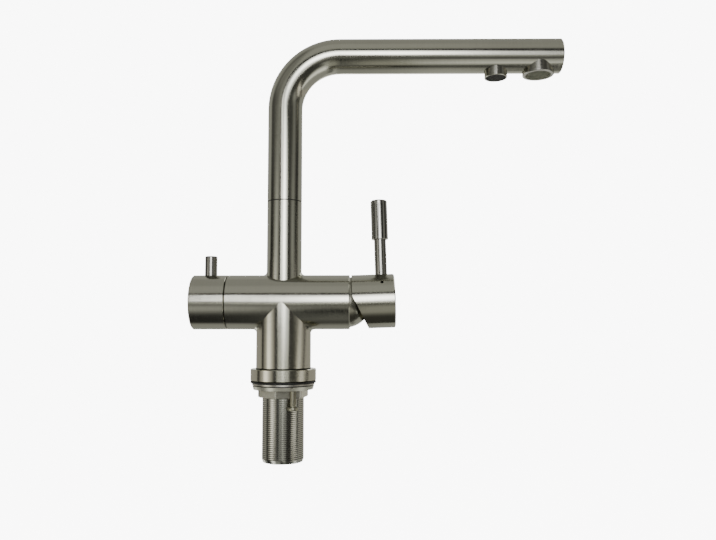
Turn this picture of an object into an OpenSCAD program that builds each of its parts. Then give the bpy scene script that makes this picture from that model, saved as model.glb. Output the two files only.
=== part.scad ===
// Three way kitchen tap: a horizontal body on a column, with a mixer lever at its
// right end, a filtered water valve at its left end and a swivel spout with two outlets.
// Millimetres. The origin is the middle of the base, on the worktop's top face.
// +Z is up, +X points along the spout arm and towards the mixer lever, -Y is the front.

/* [Heights above the worktop] */
// Axis of the horizontal body
body_axis_h = 64; // [60:0.5:75]
// Seam where the spout turns on the riser
seam_h = 145; // [140:0.5:160]
// Axis of the spout's level arm
arm_axis_h = 266.6; // [240:0.1:330]

/* [Body] */
// Diameter of the horizontal body, the column and the filter cap
body_d = 43.5; // [43:0.1:48]
// Length of the body to the left of the column's axis
body_left = 44.5; // [42:0.1:55]
// Length of the body to the right of the column's axis
body_right = 52.8; // [50:0.1:60]
// Radius of the corners between the body and the column
column_fillet = 3; // [2:0.5:7]
// Radius of the corners between the body and the riser
riser_fillet = 3; // [2:0.5:5]

/* [Spout] */
// Diameter of the spout tube and of the riser
spout_d = 28; // [27:0.1:30]
// Wall of the spout tube
spout_wall = 1.5; // [1.2:0.1:1.8]
// Radius of the bend, on the tube's centre line
bend_r = 45; // [35:1:60]
// Distance from the column's axis to the filtered water outlet
filtered_reach = 173; // [140:0.5:230]
// Distance between the two outlets' axes
outlets_apart = 34.8; // [28:0.2:60]
// Length of the arm beyond the mixed water outlet's axis
arm_beyond = 18.7; // [16:0.1:40]
// Diameter of the mixed water outlet's neck
mixed_neck_d = 24.2; // [24:0.1:25]
// Diameter of the aerator's ring
aerator_d = 25.4; // [25.2:0.1:27]
// Drop from the arm's axis to the face of the mixed water outlet
mixed_drop = 16.2; // [16:0.1:20]
// Diameter of the filtered water outlet
filtered_d = 18.4; // [17:0.1:20]
// Drop from the arm's axis to the face of the filtered water outlet
filtered_drop = 18.4; // [17.6:0.1:22]

/* [Mixer handle] */
// Diameter of the handle's drum
handle_d = 43.1; // [43:0.1:46]
// Length of the handle's drum
handle_len = 34; // [32:0.5:40]
// Gap between the body and the drum
handle_gap = 1.9; // [1.6:0.1:2.5]
// Angle of the drum's slanted cut from the upright
cut_angle = 25.7; // [24:0.1:28]
// How far the closed lever leans back over the body, in degrees
closed_lean = 1.7; // [0:0.1:2]
// Distance from the drum's outer end to the lever's axis
lever_inset = 10.1; // [8.5:0.1:11]
// Diameter of the lever's rod
rod_d = 9.7; // [8:0.1:11]
// Length of the rod below the grip
rod_len = 28; // [20:0.5:40]
// Diameter of the lever's grip
grip_d = 13.4; // [12:0.1:16]
// Length of the grip
grip_len = 32; // [25:0.5:45]

/* [Filter cap] */
// Length of the filter cap
cap_len = 27.4; // [26.6:0.1:32]
// Gap between the filter cap and the body
cap_gap = 0.5; // [0.3:0.1:1]
// Distance from the cap's outer end to the pin's axis
pin_inset = 13.5; // [11:0.1:14]
// Diameter of the pin
pin_d = 9.8; // [8:0.1:11]
// Height of the pin above the cap
pin_len = 15.3; // [10:0.1:25]

/* [Base and fixing] */
// Diameter of the base ring and the seal
ring_d = 52; // [50:0.5:58]
// Height of the base ring
ring_h = 9.4; // [8:0.1:12]
// Thickness of the seal between the ring and the worktop
seal_t = 2; // [1:0.1:3]
// Thread diameter of the shank
shank_d = 33; // [32.6:0.1:33.4]
// Bore of the shank that the hoses come up through
shank_bore_d = 27; // [26:0.1:28]
// How far the shank reaches below the worktop's top face
shank_drop = 61; // [50:1:80]
// Thickness of the metal clamp washer
clamp_t = 1.2; // [1:0.1:2]
// Thickness of the black slip washer
slip_t = 0.8; // [0.6:0.1:1.5]
// Thickness of the nut's round flange
flange_t = 2.8; // [2:0.1:4]
// Height of the nut's hexagon
hex_h = 6.1; // [5:0.1:9]
// Size of the nut's hexagon across its flats
hex_af = 35; // [34.6:0.1:35.4]

/* [Hidden] */
$fn = 96;

// Clearances and the overrun that every cut shares
fit_gap = 0.05;
run_gap = 0.08;
face_gap = 0.1;
over = 1;
edge = 0.5;
// The bends that fill the tee's corners are thinner than the tubes, so that each corner fades into
// the plain crossing at the front and the back. They stay this far inside, for a clean crossing.
sink = 0.02;
corner_share = 0.65;

// Radii of the main tubes
body_r = body_d / 2;
spout_r = spout_d / 2;
bore_r = spout_r - spout_wall;
ring_top = seal_t + ring_h;
ring_floor_share = 0.36;
ring_floor = ring_h * ring_floor_share;
column_foot = seal_t + ring_floor;

// Fixing below the worktop
shank_r = shank_d / 2;
shank_bore_r = shank_bore_d / 2;
shank_engaged = 21.6;
shank_top = column_foot + shank_engaged;
thread_gap = 0.1;
thread_run_out = 1.4;
slip_r = 22.5;
clamp_r = 24.7;
flange_r = 24.4;
flange_taper = 0.8;
flange_bottom = -clamp_t - slip_t - flange_t;
hex_r = hex_af / sqrt(3);
hex_chamfer = 1.2;
// Direction of the flat that the first jack screw stands against, from the front towards +X
jack_angle = 18;
jack_r = 2.5;
jack_head_r = 4.2;
jack_head_h = 2.6;
jack_drop = 12.4;
jack_from_axis = hex_af / 2 + jack_r + thread_gap * 3;
// Distance of each screw from the middle of its flat
jack_along_flat = 3.3;
jack_bottom = flange_bottom - jack_drop;

// Water ports in the floor of the column: two for the mixer, one for the filter valve
port_circle_r = 8;
port_r = 4.5;
port_depth = 12;
port_tip = shank_top + port_depth;
channel_r = 3;
filtered_r = 2.4;
mixer_ports = [for (side = [-1, 1]) [port_circle_r / 2, side * port_circle_r * sqrt(3) / 2]];
filter_port_x = -port_circle_r;
// The cartridge's own ports, as height above the axis and place across it
mixer_port_up = -port_circle_r / 2;
mixed_port_up = port_circle_r;

// Mixer cartridge, along the body's axis
pivot_depth = 3.3;
pivot_x = body_right - pivot_depth;
dome_r = 20.4;
dome_wall = 1;
dome_hole_r = 13.9;
dome_seat = 3;
dome_skirt_r = sqrt(dome_r * dome_r - (body_right - pivot_x) * (body_right - pivot_x));
cartridge_r = 17.5;
cartridge_len = 20;
nut_len = 7;
nut_r = 19;
shoulder_x = body_right - nut_len;
seat_x = shoulder_x - cartridge_len;
base_t = 3;
disc_t = 3;
cavity_r = 15.5;
shoulder_t = 2;
neck_r = 13.5;
neck_bore_r = 11.5;
neck_len = 9;
neck_end = shoulder_x + neck_len;
fixed_disc_x = seat_x + base_t;
sliding_disc_x = fixed_disc_x + disc_t + run_gap;
sliding_t = 2.6;
driver_x = sliding_disc_x + sliding_t;
driver_t = 3.8;
driver_floor = 0.8;
disc_pocket_r = 7;
driver_r = 9;
ball_r = 1.6;
ball_x = driver_x + driver_floor + ball_r + face_gap;
ball_arm = pivot_x - ball_x;
ball_play = 0.25;
// The sliding disc is pushed up by the stem's ball as the lever opens. At rest it stands
// below the axis by half of its travel.
open_angle = 25;
ball_drop = ball_arm * sin(closed_lean);
disc_travel = ball_arm * sin(open_angle - closed_lean) + ball_drop;
disc_drop = disc_travel / 2;
seal_section = 0.9;
carrier_flange_x = driver_x + driver_t + face_gap;
carrier_flange_t = shoulder_x - shoulder_t - face_gap - carrier_flange_x;
carrier_flange_r = 14.5;
carrier_proud = 1.2;
carrier_end = neck_end + carrier_proud;
stem_w = 7;
slot_gap = 0.2;
slot_h = 15;
stem_lower_r = 2.4;
stem_pin_r = 1.5;
stub_r = 4.2;
nut_bore_r = neck_r + thread_gap;
nut_hex_r = 16.6;
nut_hex_h = 3.6;

// Mixer handle
handle_r = handle_d / 2;
handle_x = body_right + handle_gap;
handle_end = handle_x + handle_len;
lever_x = handle_end - lever_inset;
handle_wall = 1.45;
handle_bore_r = handle_r - handle_wall;
handle_floor_gap = 2.2;
handle_floor_x = pivot_x + dome_r + handle_floor_gap;
cut_start_up = 4.8;
socket_depth = 11.5;
stem_end = handle_floor_x + socket_depth;
lever_tail_r = 3;
lever_tail = 7;
rod_seat_share = 0.97;
rod_seat = handle_r * rod_seat_share;
grip_foot = handle_r + rod_len;
grip_top = grip_foot + grip_len;
grip_edge = 1;
groove_w = 0.5;
groove_depth = 0.3;
groove_drops = [3.2, 4.8];
grub_angle = 49;
grub_hole_r = 1.3;
grub_recess = 1.6;

// Filter valve, measured to the left of the column's axis
valve_bore_r = 10.5;
valve_seat_x = 22;
seat_seal_t = 2;
seat_seal_r = 5.6;
valve_disc_r = 7.4;
valve_disc_t = 3;
valve_fixed_x = valve_seat_x + seat_seal_t;
valve_turning_x = valve_fixed_x + valve_disc_t + run_gap;
spindle_flange_x = valve_turning_x + valve_disc_t;
spindle_flange_t = 2;
valve_body_r = 9.2;
valve_cavity_r = valve_disc_r + run_gap;
valve_thread_x = spindle_flange_x + spindle_flange_t + face_gap;
valve_hex_t = 4;
valve_hex_r = 13.6;
valve_neck_r = 8;
valve_neck_len = 3;
valve_neck_x = body_left + valve_hex_t + valve_neck_len;
spindle_r = 4.4;
spindle_flat = 1;
filtered_out_up = 8.6;
window_w = 6;
cap_x = body_left + cap_gap;
cap_end = cap_x + cap_len;
pin_x = cap_end - pin_inset;
cap_wall = 2;
cap_end_t = 4.2;
cap_hub_r = 8.4;
cap_hub_x = valve_neck_x + face_gap * 4;
cap_edge = 0.7;
spindle_end = cap_end - cap_end_t - face_gap;
pin_seat_share = 0.96;
pin_seat = body_r * pin_seat_share;
pin_tail_r = 2.5;
pin_edge = 0.6;

// Swivel between the riser and the spout
swivel_ring_t = 0.7;
riser_top = seam_h - swivel_ring_t / 2;
spout_foot = seam_h + swivel_ring_t / 2 + face_gap;
bush_wall = 1.6;
bush_r = bore_r - fit_gap;
bush_bore_r = bore_r - bush_wall;
spigot_r = bush_bore_r - run_gap;
bush_len = 26;
spigot_engaged = 22;
spigot_foot = riser_top - spigot_engaged;
spigot_proud = 4.5;
spigot_top = spout_foot + bush_len + spigot_proud;
nose_r = 3.4;
nose_len = 6;
gallery_h = 3;
mixed_x = 7;
gallery_r = spigot_r - over;
water_way_r = 2.4;
water_way_x = 6.3;
tube_r = 3;
tube_bore_r = 2;
tube_socket = 8;
o_ring_r = 0.75;
o_ring_circle_r = spigot_r - o_ring_r + run_gap / 2;
o_ring_heights = [for (share = [0.3, 0.6]) spout_foot + bush_len * share];
clip_t = 1;
clip_lap = 1.1;
clip_r = bush_bore_r + clip_lap;
clip_groove_depth = 1.4;
clip_z = spout_foot + bush_len + face_gap;

// Spout
mixed_reach = filtered_reach + outlets_apart;
arm_reach = mixed_reach + arm_beyond;
bend_z = arm_axis_h - bend_r;
end_plate_t = 2;
end_plate_spigot = 3;
end_edge = 0.8;
neck_wall = 1.1;
mixed_neck_r = mixed_neck_d / 2;
mixed_neck_bore_r = mixed_neck_r - neck_wall;
aerator_r = aerator_d / 2;
aerator_ring_h = 2.1;
aerator_tail = 6;
aerator_wall = 0.75;
aerator_tail_r = mixed_neck_bore_r - fit_gap;
aerator_bore_r = aerator_tail_r - aerator_wall;
mesh_recess = 0.5;
insert_h = 5;
filtered_outlet_r = filtered_d / 2;
filtered_outlet_wall = 1.1;
filtered_insert_r = filtered_outlet_r - filtered_outlet_wall;
filtered_insert_h = 4;
insert_grooves = 4;
// Depth in the arm at which an outlet's neck starts, just inside the tube's wall, on a round step
place_step = 0.05;
function neck_start(r) = place_step * floor((sqrt(spout_r * spout_r - r * r) - spout_wall) / place_step);

// Places its children on the body's axis, with their own Z along +X
module along_x(x = 0) {
    translate([x, 0, body_axis_h]) rotate([0, 90, 0]) children();
}

// The same towards -X, for the filter valve
module along_left(x = 0) {
    translate([-x, 0, body_axis_h]) rotate([0, -90, 0]) children();
}

// Leans the handle's pieces back about the pivot, to where the closed lever stands
module in_handle() {
    translate([pivot_x, 0, body_axis_h]) rotate([0, -closed_lean, 0])
        translate([-pivot_x, 0, -body_axis_h]) children();
}

// A round piece with a bevel at each end
module bevelled_rod(r, h, foot = 0, top = 0) {
    rotate_extrude() polygon([[0, 0], [r - foot, 0], [r, foot], [r, h - top], [r - top, h], [0, h]]);
}

// A plain ring
module ring(outer, inner, h) {
    difference() {
        cylinder(r = outer, h = h);
        translate([0, 0, -over]) cylinder(r = inner, h = h + 2 * over);
    }
}

// A ring of round section, lying flat
module torus(circle_r, section_r) {
    rotate_extrude() translate([circle_r, 0]) circle(r = section_r, $fn = 32);
}

// A quarter of a bent bar, from the vertical at -X to the level at +Z
module quarter_bend(r, bend) {
    translate([bend, 0, 0]) rotate([90, 0, 180]) rotate_extrude(angle = 90) translate([bend, 0]) circle(r = r);
}

// A drill from one point to another along Z
module drill_z(x, y, z0, z1, r) {
    translate([x, y, z0]) cylinder(r = r, h = z1 - z0, $fn = 48);
}

// A drill along X at a height above the worktop
module drill_x(x0, x1, y, z, r) {
    translate([x0, y, z]) rotate([0, 90, 0]) cylinder(r = r, h = x1 - x0, $fn = 48);
}

module tee_body() {
    color("#8f8e84") difference() {
        union() {
            along_x(-body_left) bevelled_rod(body_r, body_left + body_right, edge, edge);
            translate([0, 0, column_foot]) cylinder(r = body_r, h = body_axis_h - column_foot);
            translate([0, 0, body_axis_h]) cylinder(r = spout_r, h = riser_top - body_axis_h);
            for (side = [0, 1]) mirror([side, 0, 0]) {
                translate([0, 0, body_axis_h]) corner(body_r, column_fillet);
                translate([0, 0, body_axis_h]) mirror([0, 0, 1]) corner(spout_r, riser_fillet);
            }
        }
        mixer_bore();
        valve_bore();
        column_bores();
        riser_bores();
    }
}

// The filling of the corner between an upright tube of radius r and the underside of the body
module corner(r, fillet) {
    bend = r * corner_share;
    translate([r - bend - sink, 0, sink - body_r - fillet]) quarter_bend(bend, bend + fillet);
}

// The stepped bore for the cartridge, its nut and the dome's skirt, with the ways to its three ports
module mixer_bore() {
    along_x(seat_x) cylinder(r = cartridge_r + thread_gap, h = body_right - seat_x + over);
    along_x(shoulder_x) cylinder(r = nut_r + fit_gap, h = nut_len + over);
    along_x(body_right - dome_seat) cylinder(r = dome_skirt_r + fit_gap, h = dome_seat + over);
    for (port = mixer_ports)
        drill_x(port.x, seat_x + over, port.y, body_axis_h + mixer_port_up, channel_r);
    drill_x(mixed_x, seat_x + over, 0, body_axis_h + mixed_port_up, channel_r);
}

// The threaded bore for the filter valve, with the ways in and out of it
module valve_bore() {
    along_left(valve_seat_x) cylinder(r = valve_bore_r, h = body_left - valve_seat_x + over);
    drill_x(-valve_seat_x - over, filter_port_x, 0, body_axis_h, channel_r);
    drill_x(-valve_seat_x - over, 0, 0, body_axis_h + filtered_out_up, filtered_r);
}

// The shank's thread and the three hose ports
module column_bores() {
    drill_z(0, 0, column_foot - over, shank_top, shank_r + fit_gap);
    for (port = mixer_ports) {
        drill_z(port.x, port.y, shank_top - over, port_tip, port_r);
        drill_z(port.x, port.y, port_tip - over, body_axis_h + mixer_port_up, channel_r);
    }
    drill_z(filter_port_x, 0, shank_top - over, port_tip, port_r);
    drill_z(filter_port_x, 0, port_tip - over, body_axis_h, channel_r);
}

// The ways up the riser, and the thread that holds the spigot
module riser_bores() {
    drill_z(mixed_x, 0, body_axis_h + mixed_port_up, spigot_foot, channel_r);
    drill_z(0, 0, body_axis_h + filtered_out_up, spigot_foot, filtered_r);
    drill_z(0, 0, spigot_foot - gallery_h - nose_len, spigot_foot, nose_r + run_gap);
    drill_z(0, 0, spigot_foot - gallery_h, spigot_foot + over, gallery_r);
    drill_z(0, 0, spigot_foot, riser_top + over, spigot_r + fit_gap);
}

module base_ring() {
    color("#8f8e84") translate([0, 0, seal_t]) difference() {
        bevelled_rod(ring_d / 2, ring_h, edge, edge);
        translate([0, 0, ring_floor]) cylinder(r = body_r + fit_gap, h = ring_h);
        translate([0, 0, -over]) cylinder(r = shank_r + thread_gap, h = ring_h);
    }
}

module base_seal() {
    color("#1c1c1a") rotate_extrude() union() {
        translate([shank_r + thread_gap, 0]) square([ring_d / 2 - seal_t / 2 - shank_r - thread_gap, seal_t]);
        translate([ring_d / 2 - seal_t / 2, seal_t / 2]) circle(d = seal_t, $fn = 32);
    }
}

module threaded_shank() {
    color("#8a8980") difference() {
        translate([0, 0, -shank_drop]) bevelled_rod(shank_r, shank_top + shank_drop, thread_run_out, edge);
        drill_z(0, 0, -shank_drop - over, shank_top + over, shank_bore_r);
    }
}

module clamp_washer() {
    color("#9a978a") translate([0, 0, -clamp_t]) ring(clamp_r, shank_r + thread_gap, clamp_t);
}

module slip_washer() {
    color("#1c1c1a") translate([0, 0, -clamp_t - slip_t]) ring(slip_r, shank_r + thread_gap, slip_t);
}

// Turns its children to each of the nut's two jack screws
module at_jacks() {
    for (turn = [0, 180]) rotate([0, 0, jack_angle + turn])
        translate([jack_along_flat, -jack_from_axis, 0]) children();
}

module back_nut() {
    color("#a09b86") difference() {
        union() {
            translate([0, 0, flange_bottom])
                cylinder(r1 = flange_r - flange_taper, r2 = flange_r, h = flange_t);
            translate([0, 0, flange_bottom - hex_h]) intersection() {
                rotate([0, 0, jack_angle]) cylinder(r = hex_r, h = hex_h + edge, $fn = 6);
                cylinder(r1 = hex_r - hex_chamfer, r2 = hex_r - hex_chamfer + hex_h * sqrt(3), h = hex_h + edge);
            }
        }
        drill_z(0, 0, flange_bottom - hex_h - over, over, shank_r + thread_gap);
        at_jacks() drill_z(0, 0, flange_bottom - hex_h - over, over, jack_r + thread_gap);
    }
}

module jack_screws() {
    color("#9a978a") at_jacks() {
        drill_z(0, 0, jack_bottom, -clamp_t - slip_t, jack_r);
        translate([0, 0, jack_bottom - jack_head_h]) difference() {
            bevelled_rod(jack_head_r, jack_head_h, edge, edge);
            translate([-jack_head_r - over, -edge, -over]) cube([2 * jack_head_r + 2 * over, 2 * edge, 2 * over]);
        }
    }
}

module cartridge_base() {
    color("#d8d6cc") difference() {
        along_x(seat_x) cylinder(r = cartridge_r, h = base_t);
        cartridge_ports(seat_x - over, seat_x + base_t + over, channel_r);
        cartridge_ports(seat_x - over, seat_x + seal_section, channel_r + 2 * seal_section);
    }
}

// Drills the cartridge's three ports from x0 to x1
module cartridge_ports(x0, x1, r) {
    for (port = mixer_ports)
        drill_x(x0, x1, port.y, body_axis_h + mixer_port_up, r);
    drill_x(x0, x1, 0, body_axis_h + mixed_port_up, r);
}

module port_seals() {
    color("#1c1c1a") for (port = concat([for (p = mixer_ports) [p.y, mixer_port_up]], [[0, mixed_port_up]]))
        translate([seat_x + seal_section / 2, port.x, body_axis_h + port.y]) rotate([0, 90, 0])
            torus(channel_r + seal_section, seal_section / 2 - fit_gap / 2);
}

module fixed_disc() {
    color("#ebe8e0") difference() {
        along_x(fixed_disc_x) cylinder(r = cavity_r - thread_gap, h = disc_t);
        cartridge_ports(fixed_disc_x - over, fixed_disc_x + disc_t + over, channel_r);
    }
}

module sliding_disc() {
    color("#ebe8e0") translate([0, 0, -disc_drop]) difference() {
        along_x(sliding_disc_x) cylinder(r = cavity_r - disc_drop - 2 * slot_gap, h = sliding_t);
        along_x(sliding_disc_x - over) cylinder(r = disc_pocket_r, h = over + sliding_t / 2);
    }
}

module disc_driver() {
    color("#c9c6bb") difference() {
        translate([0, 0, -disc_drop]) along_x(driver_x) cylinder(r = driver_r, h = driver_t);
        translate([ball_x - ball_r - face_gap, -driver_r / 2, body_axis_h - ball_drop - ball_r - ball_play])
            cube([driver_t, driver_r, 2 * (ball_r + ball_play)]);
    }
}

module cartridge_housing() {
    color("#d8d6cc") along_x() rotate_extrude() polygon([
        [cavity_r, fixed_disc_x],
        [cartridge_r, fixed_disc_x],
        [cartridge_r, shoulder_x],
        [neck_r, shoulder_x],
        [neck_r, neck_end],
        [neck_bore_r, neck_end],
        [neck_bore_r, shoulder_x - shoulder_t],
        [cavity_r, shoulder_x - shoulder_t]]);
}

module stem_carrier() {
    color("#b9b6aa") difference() {
        union() {
            along_x(carrier_flange_x) cylinder(r = carrier_flange_r, h = carrier_flange_t);
            along_x(carrier_flange_x) cylinder(r = neck_bore_r - run_gap, h = carrier_end - carrier_flange_x);
        }
        translate([carrier_flange_x - over, -stem_w / 2 - slot_gap, body_axis_h - slot_h / 2])
            cube([carrier_end - carrier_flange_x + 2 * over, stem_w + 2 * slot_gap, slot_h]);
        translate([pivot_x, -neck_bore_r - over, body_axis_h]) rotate([-90, 0, 0])
            cylinder(r = stem_pin_r, h = 2 * (neck_bore_r + over), $fn = 32);
    }
}

module stem_pin() {
    pin_half = sqrt((neck_bore_r - run_gap) * (neck_bore_r - run_gap) - stem_pin_r * stem_pin_r) - slot_gap;
    color("#aaa79c") translate([pivot_x, -pin_half, body_axis_h]) rotate([-90, 0, 0])
        cylinder(r = stem_pin_r, h = 2 * pin_half, $fn = 32);
}

module lever_stem() {
    color("#b5a36a") in_handle() difference() {
        union() {
            translate([pivot_x - stem_w / 2, -stem_w / 2, body_axis_h - stem_w / 2])
                cube([handle_floor_x - pivot_x, stem_w, stem_w]);
            along_x(pivot_x) cylinder(r = stub_r, h = stem_end - pivot_x);
            along_x(ball_x) cylinder(r = ball_r - slot_gap, h = ball_arm);
            translate([ball_x, 0, body_axis_h]) sphere(r = ball_r);
            along_x(ball_x + 2 * ball_r) cylinder(r = stem_lower_r, h = ball_arm - 2 * ball_r);
        }
        translate([pivot_x, -stem_w, body_axis_h]) rotate([-90, 0, 0])
            cylinder(r = stem_pin_r + run_gap, h = 2 * stem_w, $fn = 32);
        for (side = [-1, 1]) translate([0, side * stem_w, 0])
            translate([pivot_x - stem_w, -stem_w / 2, body_axis_h - stem_w])
                cube([handle_floor_x - pivot_x, stem_w, 2 * stem_w]);
    }
}

module cartridge_nut() {
    color("#b59a55") along_x(shoulder_x) difference() {
        union() {
            cylinder(r = nut_r, h = nut_len - dome_seat);
            cylinder(r = nut_hex_r, h = nut_len + nut_hex_h, $fn = 6);
        }
        translate([0, 0, -over]) cylinder(r = nut_bore_r, h = nut_len + nut_hex_h + 2 * over);
    }
}

module dome_cap() {
    color("#8f8e84") difference() {
        along_x(pivot_x) sphere(r = dome_r);
        along_x(pivot_x) sphere(r = dome_r - dome_wall);
        along_x(pivot_x - 2 * dome_r) cylinder(r = 2 * dome_r, h = 2 * dome_r + body_right - dome_seat - pivot_x);
        along_x(body_right - dome_seat - over) ring(2 * dome_r, dome_skirt_r, dome_seat + over);
        along_x(pivot_x) cylinder(r = dome_hole_r, h = 2 * dome_r);
    }
}

module handle_drum() {
    color("#8f8e84") in_handle() difference() {
        along_x(handle_x) bevelled_rod(handle_r, handle_len, edge / 2, end_edge);
        along_x(handle_x - over) cylinder(r = handle_bore_r, h = handle_floor_x - handle_x + over);
        // The slanted cut that lets the drum's lower edge swing in
        translate([handle_x, 0, body_axis_h + cut_start_up]) rotate([0, -cut_angle, 0])
            translate([-2 * handle_d, -handle_d, -2 * handle_d]) cube([2 * handle_d, 2 * handle_d, 2 * handle_d]);
        along_x(handle_floor_x - over) cylinder(r = stub_r + fit_gap, h = socket_depth + over + fit_gap);
        translate([lever_x, 0, body_axis_h + rod_seat]) cylinder(r = rod_d / 2 + fit_gap, h = handle_r);
        translate([lever_x, 0, body_axis_h + rod_seat - lever_tail])
            cylinder(r = lever_tail_r + fit_gap, h = lever_tail + over, $fn = 48);
        translate([lever_x, 0, body_axis_h]) rotate([grub_angle, 0, 0]) cylinder(r = grub_hole_r, h = handle_d, $fn = 32);
    }
}

module lever_rod() {
    color("#96958b") in_handle() translate([lever_x, 0, body_axis_h]) {
        translate([0, 0, rod_seat]) cylinder(r = rod_d / 2, h = grip_foot - rod_seat);
        translate([0, 0, rod_seat - lever_tail + fit_gap])
            cylinder(r = lever_tail_r, h = lever_tail + grip_foot - rod_seat + grip_len / 2, $fn = 48);
    }
}

module lever_grip() {
    color("#8f8e84") in_handle() translate([lever_x, 0, body_axis_h + grip_foot]) difference() {
        bevelled_rod(grip_d / 2, grip_len, edge / 2, grip_edge);
        for (drop = groove_drops)
            translate([0, 0, grip_len - drop - groove_w / 2])
                ring(grip_d, grip_d / 2 - groove_depth, groove_w);
        translate([0, 0, -over]) cylinder(r = lever_tail_r + fit_gap, h = grip_len / 2 + over + fit_gap, $fn = 48);
    }
}

module handle_grub_screw() {
    color("#2a2a28") in_handle() translate([lever_x, 0, body_axis_h]) rotate([grub_angle, 0, 0])
        translate([0, 0, stub_r + fit_gap]) difference() {
            cylinder(r = grub_hole_r - fit_gap, h = handle_r - grub_recess - stub_r, $fn = 32);
            translate([0, 0, handle_r - 2 * grub_recess - stub_r])
                cylinder(r = grub_hole_r / 2, h = 2 * grub_recess, $fn = 6);
        }
}

module valve_headwork() {
    color("#b59a55") along_left() difference() {
        union() {
            translate([0, 0, valve_fixed_x]) cylinder(r = valve_body_r, h = valve_thread_x - valve_fixed_x);
            translate([0, 0, valve_thread_x]) cylinder(r = valve_bore_r - fit_gap, h = body_left - valve_thread_x);
            translate([0, 0, body_left]) cylinder(r = valve_hex_r, h = valve_hex_t, $fn = 6);
            translate([0, 0, body_left]) cylinder(r = valve_neck_r, h = valve_neck_x - body_left);
        }
        translate([0, 0, valve_fixed_x - over])
            cylinder(r = valve_cavity_r, h = valve_thread_x - valve_fixed_x + over);
        translate([0, 0, valve_fixed_x]) cylinder(r = spindle_r + run_gap, h = valve_neck_x);
        // Two windows that let the filtered water out to the side
        translate([-window_w / 2, -valve_bore_r, valve_turning_x])
            cube([window_w, 2 * valve_bore_r, valve_disc_t]);
    }
}

module valve_seat_seal() {
    color("#1c1c1a") along_left(valve_seat_x) ring(seat_seal_r, channel_r, seat_seal_t);
}

// A ceramic disc with two openings, facing each other
module valve_disc(x) {
    along_left(x) difference() {
        cylinder(r = valve_disc_r, h = valve_disc_t);
        for (side = [-1, 1]) translate([0, side * valve_disc_r / 2, -over])
            cylinder(r = filtered_r, h = valve_disc_t + 2 * over, $fn = 32);
    }
}

module valve_fixed_disc() {
    color("#ebe8e0") valve_disc(valve_fixed_x);
}

module valve_turning_disc() {
    color("#ebe8e0") translate([0, 0, body_axis_h]) rotate([90, 0, 0]) translate([0, 0, -body_axis_h])
        valve_disc(valve_turning_x);
}

module valve_spindle() {
    color("#b59a55") along_left() difference() {
        union() {
            translate([0, 0, spindle_flange_x]) cylinder(r = valve_disc_r, h = spindle_flange_t);
            translate([0, 0, spindle_flange_x]) cylinder(r = spindle_r, h = spindle_end - spindle_flange_x);
        }
        // The flat that the pin's tail bears on
        translate([spindle_r - spindle_flat, -spindle_r, valve_neck_x + face_gap])
            cube([spindle_flat + over, 2 * spindle_r, spindle_end]);
    }
}

module filter_cap() {
    color("#8f8e84") difference() {
        along_left(cap_x) bevelled_rod(body_r, cap_len, edge / 2, cap_edge);
        along_left(cap_x - over) ring(body_r - cap_wall, cap_hub_r, cap_len - cap_end_t + over);
        along_left(cap_x - over) cylinder(r = cap_hub_r + over, h = cap_hub_x - cap_x + over);
        along_left(cap_x) cylinder(r = spindle_r + fit_gap, h = spindle_end + face_gap - cap_x);
        translate([-pin_x, 0, body_axis_h + pin_seat]) cylinder(r = pin_d / 2 + fit_gap, h = body_r);
        translate([-pin_x, 0, body_axis_h]) cylinder(r = pin_tail_r + fit_gap, h = body_r, $fn = 48);
    }
}

module filter_pin() {
    color("#96958b") translate([-pin_x, 0, body_axis_h]) {
        translate([0, 0, pin_seat]) bevelled_rod(pin_d / 2, body_r + pin_len - pin_seat, 0, pin_edge);
        translate([0, 0, spindle_r - spindle_flat + fit_gap])
            cylinder(r = pin_tail_r, h = pin_seat - spindle_r + spindle_flat, $fn = 48);
    }
}

module swivel_spigot() {
    color("#b59a55") difference() {
        union() {
            drill_z(0, 0, spigot_foot, spigot_top, spigot_r);
            drill_z(0, 0, spigot_foot - gallery_h - nose_len + face_gap, spigot_foot, nose_r);
        }
        drill_z(0, 0, spigot_foot - gallery_h - nose_len - over, spigot_top + over, tube_bore_r);
        drill_z(0, 0, spigot_top - tube_socket, spigot_top + over, tube_r + fit_gap);
        for (turn = [0, 120, 240]) rotate([0, 0, turn])
            drill_z(water_way_x, 0, spigot_foot - over, spigot_top + over, water_way_r);
        for (z = o_ring_heights) translate([0, 0, z - o_ring_r - fit_gap])
            ring(spigot_r + over, o_ring_circle_r - o_ring_r - fit_gap, 2 * (o_ring_r + fit_gap));
        translate([0, 0, clip_z - fit_gap]) ring(spigot_r + over, spigot_r - clip_groove_depth, clip_t + 2 * fit_gap);
    }
}

module spigot_o_rings() {
    color("#1c1c1a") for (z = o_ring_heights) translate([0, 0, z]) torus(o_ring_circle_r, o_ring_r);
}

module spigot_clip() {
    color("#aaa79c") translate([0, 0, clip_z]) difference() {
        ring(clip_r, spigot_r - clip_groove_depth + fit_gap, clip_t);
        translate([0, -tube_r, -over]) cube([2 * spigot_r, 2 * tube_r, clip_t + 2 * over]);
    }
}

module swivel_ring() {
    color("#2b2b28") translate([0, 0, riser_top]) ring(spout_r - 2 * face_gap, spigot_r + thread_gap, swivel_ring_t);
}

// The spout's line, as a bar of radius r: up the riser, round the bend and along the arm
module spout_bar(r, foot, end) {
    translate([0, 0, foot]) cylinder(r = r, h = bend_z - foot);
    translate([0, 0, bend_z]) quarter_bend(r, bend_r);
    translate([bend_r, 0, arm_axis_h]) rotate([0, 90, 0]) cylinder(r = r, h = end - bend_r);
}

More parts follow.
